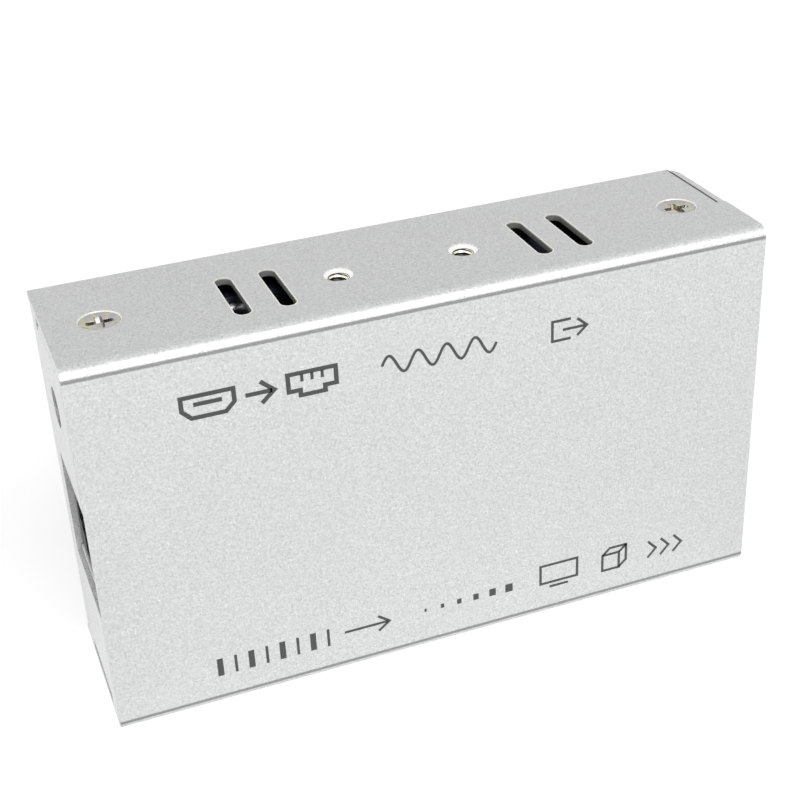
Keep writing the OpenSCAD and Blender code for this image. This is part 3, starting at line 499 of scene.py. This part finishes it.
def grid_mesh(points, close_rows=False, close_columns=False, cap_rows=False):
    """A mesh from a grid of points, rows by columns by 3: each cell is one face.

    close_rows joins the last row to the first, and close_columns the last column to the first.
    cap_rows closes the first and last rows with a fan to their own middles.
    """
    points = np.asarray(points, float)
    rows, columns = points.shape[:2]
    row, column = np.meshgrid(
        np.arange(rows if close_rows else rows - 1),
        np.arange(columns if close_columns else columns - 1), indexing="ij")
    next_row, next_column = (row + 1) % rows, (column + 1) % columns
    corners = [row * columns + column, row * columns + next_column,
               next_row * columns + next_column, next_row * columns + column]
    faces = np.stack(corners, -1).reshape(-1, 4).tolist()
    vertices = points.reshape(-1, 3)
    if cap_rows:
        middles = np.stack([points[0].mean(0), points[-1].mean(0)])
        first, last = len(vertices), len(vertices) + 1
        vertices = np.vstack([vertices, middles])
        here = np.arange(columns)
        there = (here + 1) % columns
        last_row = (rows - 1) * columns
        low = np.stack([np.full(columns, first), there, here], -1)
        high = np.stack([np.full(columns, last), here + last_row, there + last_row], -1)
        faces += low.tolist() + high.tolist()
    return vertices, faces


def outwards(made):
    """Turns every closed shell of an object's mesh so that its faces point outwards."""
    shape = bmesh.new()
    shape.from_mesh(made.data)
    bmesh.ops.recalc_face_normals(shape, faces=shape.faces)
    shape.to_mesh(made.data)
    shape.free()


def piece(name, parts, paint, smooth=SHARP_ANGLE, body=ROOT, replaces=()):
    """One object from several (vertices, faces) parts, with its finish and body, hiding what it
    replaces.

    Edges sharper than the smooth angle stay sharp, and an angle of 0 leaves all faces flat.
    """
    offset, all_vertices, all_faces = 0, [], []
    for vertices, faces in parts:
        all_vertices.append(vertices)
        all_faces += [[i + offset for i in face] for face in faces]
        offset += len(vertices)
    mesh = bpy.data.meshes.new(name)
    mesh.from_pydata(np.vstack(all_vertices).tolist(), [], all_faces)
    mesh.materials.append(paint)
    made = bpy.data.objects.new(name, mesh)
    bpy.context.scene.collection.objects.link(made)
    outwards(made)
    if smooth:
        mesh.shade_smooth()
        mesh.set_sharp_from_angle(angle=smooth)
    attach(made, body)
    if replaces:
        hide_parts(*replaces)


def placed(part, place, out):
    """A part moved to a place, with its own Z turned to point out of the face it sits in."""
    vertices, faces = part
    out = Vector(out).normalized()
    side = Vector((1, 0, 0)) if abs(out.x) < 0.5 else Vector((0, 0, 1))
    up = out.cross(side)
    turn = np.array([side, up, out])
    return vertices @ turn + np.array(place), faces


# Screws, threads and the coil

SHANK_RADIUS, SHANK_LENGTH = 1.42 * MM, 4.9 * MM
SHANK_PITCH, SHANK_THREAD_DEPTH = 0.5 * MM, 0.16 * MM
POINT_LENGTH, POINT_SHARE = 0.3 * MM, 0.72
RECESS_FLOOR = (0.02, 0.25, 0.5, 0.7, 0.84)  # rings of a recess, as shares of its outline
RECESS_WALL = (0.95, 0.995, 1.03)
RECESS_RISE = 0.55  # the floor rises by this share of the depth for each span
RECESS_STEP = 0.55  # the wall's lowest ring, as a share of the way up from the floor
RECESS_LIP = 0.02 * MM
COIL_WIRE, COIL_GROOVE = 0.19 * MM, 0.04


def cross_bar(along, across, span, width, sharpness=7.0):
    """How far one bar of a cross reaches: a superellipse of half lengths span and width."""
    powers = (np.abs(along) / span) ** sharpness + (np.abs(across) / width) ** sharpness
    return powers ** (-1 / sharpness)


def cross_reach(angle, span, width, blend=12):
    """How far a cross recess reaches from its middle at an angle.

    It is the further of the two bars, with the corner between them rounded by a high power mean.
    """
    one = cross_bar(np.cos(angle), np.sin(angle), span, width)
    other = cross_bar(np.sin(angle), np.cos(angle), span, width)
    return (one ** blend + other ** blend) ** (1 / blend)


def thread(angle, height, radius, pitch, depth, steepness=1.25):
    """Radius of a screw thread, which climbs one pitch in each turn.

    It is a triangle wave, multiplied by the steepness and cut off at 1, so its crest is flat.
    """
    phase = (height / pitch - angle / FULL_TURN) % 1.0
    ridge = 1 - np.abs(2 * phase - 1)
    return radius - depth * (1 - np.clip(ridge * steepness, 0, 1))


def screw(head, recess_depth, span, width, steps=144):
    """A cross recess screw: rings round its axis, each a radius and a height for every angle.

    The rings run from the middle of the recess up its tapered walls to the rim, over the head's
    profile, given as (radius, height) pairs, and down the threaded shank to its blunt point.
    """
    angle = round_angles(steps)
    rim = cross_reach(angle, span, width)
    even = np.ones(steps)
    head = np.array(head)
    top = head[0, 1]
    floor_radii = np.outer(RECESS_FLOOR, rim)
    floor = top - recess_depth * (1 - RECESS_RISE * floor_radii / span)
    wall_radii = np.outer(RECESS_WALL, rim)
    wall = np.array([
        floor[-1] + (top - floor[-1]) * RECESS_STEP, even * (top - RECESS_LIP), even * top])
    shank_heights = np.outer(
        np.arange(head[-1, 1], POINT_LENGTH - SHANK_LENGTH, -SHANK_PITCH / 8), even)
    shank_radii = thread(angle, shank_heights, SHANK_RADIUS, SHANK_PITCH, SHANK_THREAD_DEPTH)
    radii = np.vstack([
        floor_radii, wall_radii, np.outer(head[:, 0], even), shank_radii,
        even * SHANK_RADIUS * POINT_SHARE])
    heights = np.vstack([
        floor, wall, np.outer(head[:, 1], even), shank_heights, -even * SHANK_LENGTH])
    return grid_mesh(turned(radii, heights, angle), close_columns=True, cap_rows=True)


def head_rings(radius, profile):
    """A head's (radius, height) pairs from shares of its radius and heights in millimetres."""
    return [(radius * share, height * MM) for share, height in profile]


def countersunk_screw():
    """A countersunk screw: a slightly dished face inside a raised lip, and a rounded rim."""
    head = head_rings(2.77 * MM, (
        (0.74, -0.24), (0.80, -0.20), (0.87, -0.10), (0.92, -0.04), (0.955, -0.07),
        (0.985, -0.15), (1.0, -0.24), (0.985, -0.31)))
    cone_radius, cone_top = head[-1]
    head.append((SHANK_RADIUS, cone_top - (cone_radius - SHANK_RADIUS)))
    return screw(head, recess_depth=1.60 * MM, span=1.86 * MM, width=0.52 * MM)


def pan_screw():
    """A pan head screw: a domed head over a short straight edge."""
    head = head_rings(2.72 * MM, (
        (0.62, 1.87), (0.80, 1.74), (0.93, 1.45), (0.99, 1.05), (1.0, 0.6), (1.0, 0.08),
        (0.98, 0.01)))
    head.append((SHANK_RADIUS, head[-1][1]))
    return screw(head, recess_depth=1.5 * MM, span=1.55 * MM, width=0.42 * MM)


def tapped_ring(radius, top, bottom, start=0.18, rings=60, steps=96):
    """The thread inside a tapped hole: a ring whose inner wall is a screw thread.

    The thread starts at a share of a turn and fades at both ends. A thread whose radius is its
    own depth gives the ridges alone, from 0 to the depth.
    """
    pitch, depth, fade_length = 0.7 * MM, 0.26 * MM, 0.12 * MM
    groove_radius, back_radius = radius - 0.012 * MM, radius - 0.002 * MM
    angle = round_angles(steps)
    heights = np.outer(np.linspace(top, bottom, rings), np.ones(steps))
    fade = np.clip(np.minimum(heights - bottom, top - heights) / fade_length, 0, 1)
    ridges = thread(angle - start * FULL_TURN, heights, depth, pitch, depth)
    inner = groove_radius - ridges * fade
    outer = np.full((2, steps), back_radius)
    radii = np.vstack([inner, outer])
    levels = np.vstack([heights, heights[[-1, 0]]])
    return grid_mesh(turned(radii, levels, angle), close_rows=True, close_columns=True)


def wound_coil(radius, length, wire, rings=8, steps=64):
    """A layer of round wire on a bobbin: a cylinder that swells by a half circle at each wire."""
    angle = round_angles(steps)
    heights = np.outer(np.linspace(0, length, int(length / wire) * rings + 1), np.ones(steps))
    phase = (heights / wire - angle / FULL_TURN) % 1.0
    swell = np.sqrt(np.clip(1 - (2 * phase - 1) ** 2, COIL_GROOVE, 1))
    radii = radius - wire / 2 + wire / 2 * swell
    return grid_mesh(turned(radii, heights, angle), close_columns=True, cap_rows=True)


# Printed marks on the front panel

INK_LIFT = 0.02 * MM
BOLD, THIN = 0.62, 0.40  # stroke widths in millimetres
MITRE_LIMIT = 0.35  # a sharp corner's offset grows no more than one over this


def row_lengths(vectors):
    return np.linalg.norm(vectors, axis=1, keepdims=True)


def unit_rows(vectors):
    """Each row divided by its length, and a row of no length left as it is."""
    return vectors / np.maximum(row_lengths(vectors), 1e-12)


def ribbon(path, width, lift, front, closed=False):
    """A flat printed stroke: a thin box section carried along a path of (x, z) points.

    Each point's offset is half the width along the bisector of its two segments, so the stroke
    keeps its width round the bends. An open end takes its one segment for both.
    """
    path = np.asarray(path, float)
    before = np.roll(path, 1, 0) if closed else np.vstack([path[:1], path[:-1]])
    after = np.roll(path, -1, 0) if closed else np.vstack([path[1:], path[-1:]])
    into, away = unit_rows(path - before), unit_rows(after - path)
    into = np.where(row_lengths(into) < 0.5, away, into)
    away = np.where(row_lengths(away) < 0.5, into, away)
    along = unit_rows(into + away)
    normal = np.stack([-along[:, 1], along[:, 0]], -1)
    stretch = 1 / np.maximum((into * along).sum(1, keepdims=True), MITRE_LIMIT)
    offset = normal * stretch * width / 2
    section = [(path + offset, front), (path + offset, front - lift),
               (path - offset, front - lift), (path - offset, front)]
    points = np.stack([
        np.stack([side[:, 0], np.full(len(side), y), side[:, 1]], -1) for side, y in section], 1)
    return grid_mesh(points, close_rows=closed, close_columns=True, cap_rows=not closed)


def front_marks():
    """Plain signs in dark ink: a port, an arrow and a second port, a wave, a sending box, and a
    row that shows eight wires, an arrow, dots, a screen, a solid block's outline and chevrons.

    Places are millimetres from the front panel's lower left corner.
    """
    strokes = []

    def mark(points, width, closed=False):
        path = [((x * MM) + CASE_LEFT, z * MM) for x, z in points]
        strokes.append(ribbon(path, width * MM, INK_LIFT, CASE_FRONT, closed))

    # the video port's outline with its tongue
    mark([(14.3, 50.3), (14.3, 48.4), (15.5, 47.2), (20.1, 47.2), (21.3, 48.4), (21.3, 50.3)],
         BOLD, closed=True)
    mark([(15.9, 49.1), (19.7, 49.1)], BOLD)
    # a bold arrow
    mark([(22.8, 48.8), (26.4, 48.8)], BOLD)
    mark([(24.9, 50.4), (26.7, 48.8), (24.9, 47.2)], BOLD)
    # the network port's outline with its latch notch and three wires
    mark([(28.6, 50.4), (28.6, 47.9), (30.2, 47.9), (30.2, 47.1), (33.6, 47.1), (33.6, 47.9),
          (35.2, 47.9), (35.2, 50.4)], BOLD, closed=True)
    for x in (30.5, 31.9, 33.3):
        mark([(x, 50.2), (x, 49.1)], BOLD * 0.7)
    # a wave of four periods
    mark([(41.6 + 16.6 * t, 48.7 + 1.35 * math.sin(4 * FULL_TURN * t))
          for t in np.linspace(0, 1, 97)], THIN)
    # a box with an arrow that leaves it
    mark([(69.4, 49.8), (66.6, 49.8), (66.6, 46.8), (69.4, 46.8)], THIN)
    mark([(68.2, 48.3), (71.6, 48.3)], THIN)
    mark([(70.4, 49.6), (71.9, 48.3), (70.4, 47.0)], THIN)
    # eight wires, thick and thin by turns, and a thin arrow
    for i in range(8):
        x, foot = 15.0 + 2.3 * i, 5.2 + 0.010 * i
        mark([(x, foot), (x, foot + 3.0)], THIN if i % 2 else 2.2 * THIN)
    mark([(33.6, 6.9), (40.2, 6.9)], THIN)
    mark([(38.8, 8.2), (40.5, 6.9), (38.8, 5.6)], THIN)
    # a row of dots that grow
    for i in range(6):
        x, growth = 46.0 + 2.6 * i, 0.17 * i
        mark([(x, 7.0), (x + 0.35 + growth, 7.0)], 0.55 + growth)
    # a wide screen on its foot
    mark([(64.8, 9.2), (64.8, 6.0), (70.9, 6.0), (70.9, 9.2)], THIN, closed=True)
    mark([(66.3, 5.2), (69.4, 5.2)], THIN)
    # the outline of a solid block
    mark([(75.2, 5.4), (78.0, 5.4), (78.0, 8.2), (75.2, 8.2)], THIN, closed=True)
    mark([(75.2, 8.2), (76.4, 9.3), (79.2, 9.3), (79.2, 6.5), (78.0, 5.4)], THIN)
    mark([(78.0, 8.2), (79.2, 9.3)], THIN)
    # three chevrons
    for i in range(3):
        shift = 2.2 * i
        mark([(83.0 + shift, 5.6), (84.4 + shift, 7.1), (83.0 + shift, 8.6)], THIN)
    return strokes


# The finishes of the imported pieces

SCREW_METAL = screw_plating()
ZINC = plated("zinc", (0.40, 0.41, 0.43), 0.34)
COPPER = plated("copper_wire", (0.70, 0.30, 0.14), 0.30)

FINISHES = {
    sand_paint("silver_cover_paint", 0.63, punched=True): ("cover",),
    sand_paint("silver_base_paint", 0.66): ("base",),
    SCREW_METAL: ("cover_screws",),
    ZINC: ("board_screws", "standoffs"),
    shield_plating(): ("network_shield",),
    plated("tin_plate", (0.66, 0.67, 0.68), 0.30): (
        "video_socket_shell", "power_centre_pin", "power_pin_terminal", "power_leaf_terminal",
        "power_switch_contact", "power_light_leads", "clock_crystal"),
    plated("gold_plate", (0.86, 0.60, 0.22), 0.24): (
        "network_contact_legs", "network_contact_arms", "power_leaf_spring",
        "video_socket_contacts"),
    moulded("black_moulding", (0.012, 0.012, 0.013), 0.50): (
        "network_housing", "power_socket_body", "video_socket_insulator", "capacitor_bases"),
    board_paint(): ("circuit_board",),
    lens("green_lens", (0.30, 0.66, 0.28)): ("network_link_light",),
    lens("amber_lens", (0.84, 0.50, 0.10)): ("network_data_light",),
    lens("red_lens", (0.62, 0.05, 0.04)): ("power_light",),
    moulded("chip_resin", (0.020, 0.020, 0.022), 0.55): (
        "voltage_regulators", "power_diode", "chip_resistors"),
    moulded("ferrite", (0.045, 0.045, 0.050), 0.70): ("inductor_core",),
    COPPER: ("inductor_winding",),
    plated("drawn_aluminium", (0.78, 0.78, 0.79), 0.30): ("capacitor_cans",),
    moulded("ceramic", (0.42, 0.28, 0.15), 0.45): ("chip_capacitors",),
}

# half sizes along X and Z of each package's resin, in millimetres
PACKAGES = {
    "video_chip": (5.0, 5.0), "line_driver_chip": (3.5, 3.5), "line_transformer": (3.55, 6.35),
    "memory_chip": (1.95, 2.45), "surge_arrays": (0.8, 1.45),
}


def dress(name, finish):
    """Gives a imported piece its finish."""
    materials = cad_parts[name].data.materials
    materials.clear()
    materials.append(finish)


for finish, names in FINISHES.items():
    for name in names:
        dress(name, finish)
for name, halves in PACKAGES.items():
    half_x, half_z = (half * MM for half in halves)
    low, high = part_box(name)
    middle_x = (low.x + high.x) / 2
    middles = [(middle_x, (low.z + high.z) / 2)]
    if name == "surge_arrays":
        middles = [(middle_x, low.z + half_z), (middle_x, high.z - half_z)]
    dress(name, package_paint(name + "_finish", middles, half_x, half_z))


# New pieces

screw_low, screw_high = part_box("cover_screws")
screw_line = (screw_low.y + screw_high.y) / 2
cover_screws = [
    placed(countersunk_screw(), (x, screw_line, z), (0, 0, out))
    for x in (screw_low.x + SEAT_RADIUS, screw_high.x - SEAT_RADIUS)
    for z, out in NARROW_SIDES]
piece("cover_screw_set", cover_screws, SCREW_METAL, replaces=["cover_screws"])

pan_low, pan_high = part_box("board_screws")
pan_radius, pan_height = 2.75 * MM, 1.9 * MM
left_x, right_x = pan_low.x + pan_radius, pan_high.x - pan_radius
low_z, high_z = pan_low.z + pan_radius, pan_high.z - pan_radius
inner_x = CASE_LEFT + 26.5 * MM
board_screws = [
    placed(pan_screw(), (x, pan_low.y + pan_height, z), (0, -1, 0))
    for x, z in ((left_x, low_z), (right_x, low_z), (right_x, high_z), (inner_x, high_z))]
piece("board_screw_set", board_screws, ZINC, replaces=["board_screws"])

threads = [
    placed(tapped_ring(TAP_RADIUS, TAP_THREAD_TOP, TAP_THREAD_BOTTOM), (x, TAP_Y, z), (0, 0, out))
    for x in (TAP_MIDDLE_X - TAP_HALF_SPAN, TAP_MIDDLE_X + TAP_HALF_SPAN)
    for z, out in NARROW_SIDES]
piece("bracket_hole_threads", threads, thread_metal())

coil_low, coil_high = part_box("inductor_winding")
coil = placed(
    wound_coil((coil_high.x - coil_low.x) / 2, coil_high.y - coil_low.y, COIL_WIRE),
    ((coil_low.x + coil_high.x) / 2, coil_high.y, (coil_low.z + coil_high.z) / 2), (0, -1, 0))
piece("inductor_coil", [coil], COPPER, replaces=["inductor_winding"])

piece("front_panel_marks", front_marks(), dark_ink(), smooth=0)


# Camera, floor and light

# The photo's camera, from a fit to the case's corners: the turn vector, and the shift in
# millimetres, take a point of the frame to the camera's axes, X right, Y down, Z forwards.
CAMERA_TURN = Vector((2.0479, -0.4036, 0.1734))
CAMERA_SHIFT = Vector((3.0541, 30.4323, 238.0993)) * MM
FOCAL_PIXELS, IMAGE_PIXELS = 1515.2351, 800
SENSOR_MM = 36.0

FLOOR_HALF, FLOOR_DROP = 3.0, 0.02 * MM
FLOOR_ALBEDO, FLOOR_GLOW = 0.62, 0.66
FLOOR_FADE_RADIUS, FLOOR_FADE_WIDTH = 0.34, 0.40
AMBIENT = 0.15
LAMP_TARGET = Vector((0, 0, 0.03))
LAMPS = (  # name, place, width and power
    ("key", (-0.95, -0.30, 0.35), 0.6, 5.8),
    ("fill", (0.20, -0.82, 0.57), 0.8, 4.35),
    ("bend", (0.15, -0.66, 0.76), 0.6, 3.4),
)


def camera():
    """The photo's camera, placed by its turn and shift."""
    turn = Matrix.Rotation(CAMERA_TURN.length, 3, CAMERA_TURN)
    photo_camera = bpy.data.cameras.new("photo_camera")
    photo_camera.sensor_width = SENSOR_MM
    photo_camera.lens = FOCAL_PIXELS / IMAGE_PIXELS * SENSOR_MM
    photo_camera.clip_start = 0.01
    made = bpy.data.objects.new("photo_camera", photo_camera)
    axes = Matrix((turn[0], -turn[1], -turn[2])).transposed()
    made.matrix_world = Matrix.Translation(-(turn.transposed() @ CAMERA_SHIFT)) @ axes.to_4x4()
    bpy.context.scene.collection.objects.link(made)
    bpy.context.scene.camera = made


def lamp(name, place, width, power):
    """A soft square lamp that faces the object."""
    light = bpy.data.lights.new(name, "AREA")
    light.size = width
    light.energy = power
    made = bpy.data.objects.new(name, light)
    made.location = place
    made.rotation_euler = (LAMP_TARGET - Vector(place)).to_track_quat("-Z", "Y").to_euler()
    bpy.context.scene.collection.objects.link(made)


def floor():
    """A pale floor that renders white, with the object's shadow on it.

    Its own glow grows with the distance from the object, so the far floor is as white as the near.
    """
    paint = Paint("pale_floor")
    paint.set(Base_Color=grey(FLOOR_ALBEDO), Roughness=0.9)
    far = paint.x.reach(paint.y).above(FLOOR_FADE_RADIUS, FLOOR_FADE_WIDTH)
    white = paint.mix(far, grey(FLOOR_GLOW), grey(1.0))
    glow = paint.node("ShaderNodeEmission", {}, {"Color": white})
    no_glow = paint.node("ShaderNodeEmission", {}, {"Strength": 0.0})
    own_light = paint.node("ShaderNodeMixShader", {}, {0: paint.seen(), 1: no_glow, 2: glow})
    reflected = Wire(paint, paint.shader.outputs[0])
    total = paint.node("ShaderNodeAddShader", {}, {0: reflected, 1: own_light})
    paint.feed(paint.own("OUTPUT_MATERIAL"), {"Surface": total})
    mesh = bpy.data.meshes.new("floor")
    corners = [(-1, -1), (1, -1), (1, 1), (-1, 1)]
    mesh.from_pydata(
        [(x * FLOOR_HALF, y * FLOOR_HALF, -FLOOR_DROP) for x, y in corners], [], [(0, 1, 2, 3)])
    mesh.materials.append(paint.material)
    made = bpy.data.objects.new("floor", mesh)
    bpy.context.scene.collection.objects.link(made)


def surroundings():
    """White for the camera and in reflections, and a plain grey light from all round."""
    world = bpy.data.worlds.new("studio")
    world.use_nodes = True
    sky = Nodes(world.node_tree)
    strength = sky.node(
        "ShaderNodeMapRange", {}, {"Value": sky.seen(), "To Min": AMBIENT, "To Max": 1.0})
    sky.feed(sky.own("BACKGROUND"), {"Color": grey(1.0), "Strength": strength})
    bpy.context.scene.world = world


camera()
floor()
surroundings()
for name, place, width, power in LAMPS:
    lamp(name, place, width, power)
bpy.context.scene.view_settings.view_transform = "Standard"
